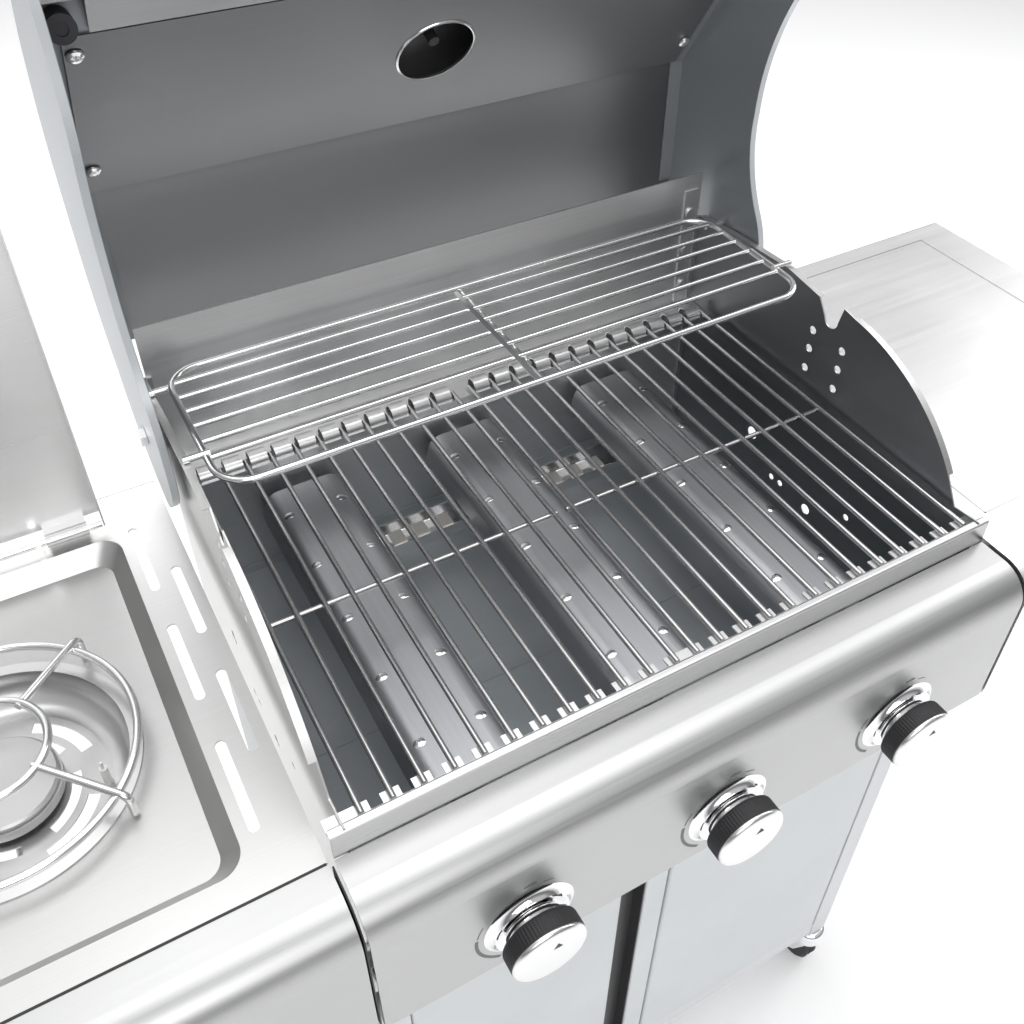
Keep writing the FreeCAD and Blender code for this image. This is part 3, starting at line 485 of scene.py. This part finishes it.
floor_data = bpy.data.meshes.new("floor")
floor_data.from_pydata([(-30, -30, 0), (30, -30, 0), (30, 30, 0), (-30, 30, 0)], [],
                       [(0, 1, 2, 3)])
floor = bpy.data.objects.new("floor", floor_data)
bpy.context.scene.collection.objects.link(floor)
floor_look, floor_tree, floor_shader = new_material("floor_paper", (0.93, 0.93, 0.93), 0, 0.9)
floor_shader.inputs["Emission Color"].default_value = (1, 1, 1, 1)
floor_shader.inputs["Emission Strength"].default_value = 0.12
floor_data.materials.append(floor_look)

world = bpy.data.worlds.new("studio")
bpy.context.scene.world = world
world.use_nodes = True
backdrop = world.node_tree.nodes["Background"]
backdrop.inputs["Strength"].default_value = 0.6
sky = world.node_tree.nodes.new("ShaderNodeTexCoord")
parts = world.node_tree.nodes.new("ShaderNodeSeparateXYZ")
ramp = world.node_tree.nodes.new("ShaderNodeValToRGB")
world.node_tree.links.new(sky.outputs["Generated"], parts.inputs["Vector"])
world.node_tree.links.new(parts.outputs["Z"], ramp.inputs["Fac"])
world.node_tree.links.new(ramp.outputs["Color"], backdrop.inputs["Color"])
bands = [(0.0, 0.55), (0.12, 0.30), (0.32, 0.42), (0.55, 0.85), (0.8, 0.9)]
for index, (height, grey) in enumerate(bands):
    stop = ramp.color_ramp.elements[index] if index < 2 else ramp.color_ramp.elements.new(height)
    stop.position = height
    stop.color = (grey, grey, grey * 1.01, 1)
area_light("key", (-0.8, -2.6, 2.6), (0, 0, 0.7), (2.4, 1.8), 34)
area_light("top", (0.2, 0.3, 3.4), (0, 0, 0.7), (3.4, 2.4), 50)
area_light("right", (2.8, 0.2, 2.0), (0, 0, 0.7), (1.6, 2.2), 34)
area_light("back", (-0.6, 3.0, 2.6), (0, 0, 0.4), (3.0, 1.5), 38)
bpy.context.scene.view_settings.view_transform = "Standard"

camera_data = bpy.data.cameras.new("camera")
camera_data.sensor_width = 36
camera_data.lens = 37.66
camera_data.shift_x = -0.003
camera_data.shift_y = -0.0493
camera_data.clip_start = 0.01
camera = bpy.data.objects.new("camera", camera_data)
bpy.context.scene.collection.objects.link(camera)
camera.location = (-0.3212, -0.5010, 1.2554)
camera.rotation_euler = (math.radians(48.545), math.radians(-0.08), math.radians(-29.236))
bpy.context.scene.camera = camera
